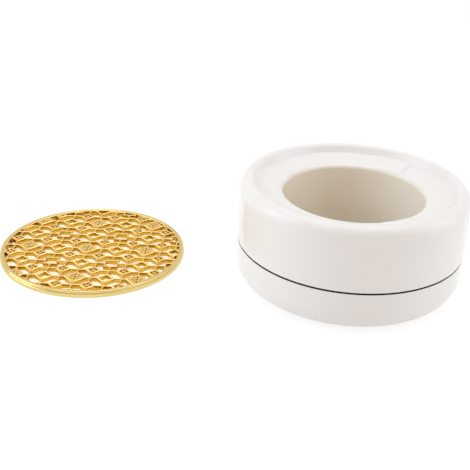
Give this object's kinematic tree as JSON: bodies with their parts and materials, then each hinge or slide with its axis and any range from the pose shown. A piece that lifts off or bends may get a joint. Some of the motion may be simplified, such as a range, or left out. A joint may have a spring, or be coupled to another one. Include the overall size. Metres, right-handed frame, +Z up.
{
  "type": "teapot warmer",
  "caption": "Round white porcelain teapot warmer with a recessed seat and a tealight in its deep well, and its openwork brass plate lying beside it.",
  "frame": {"origin": "on the table, in the middle of the footprint of the ring and the plate beside it together", "axes": "+X from the plate towards the ring, +Y away from the picture's camera, +Z up"},
  "size_m": [0.3046, 0.1512, 0.0684],
  "materials": {
    "porcelain": "glossy white glaze",
    "black_glaze": "glossy black glaze",
    "polished_brass": "polished",
    "cast_brass": "polished on top, as cast in the gaps",
    "foil": "bright pressed sheet",
    "wax": "smooth white wax",
    "tin": "tinned sheet",
    "cotton": "waxed cotton"
  },
  "bodies": {
    "warmer": {"warmer_body": "porcelain", "black_line": "black_glaze"},
    "plate": {"grille_rim": "polished_brass", "grille_lattice": "cast_brass"},
    "tealight": {"tealight_cup": "foil", "tealight_wax": "wax", "wick_sustainer": "tin", "wick": "cotton"}
  },
  "joints": [
    {"name": "plate_lift", "type": "slide", "parent": "warmer", "child": "plate", "axis": [0, 0, 1], "range_m": [0, 0.08]},
    {"name": "tealight_lift", "type": "slide", "parent": "warmer", "child": "tealight", "axis": [0, 0, 1], "range_m": [0, 0.075]}
  ]
}
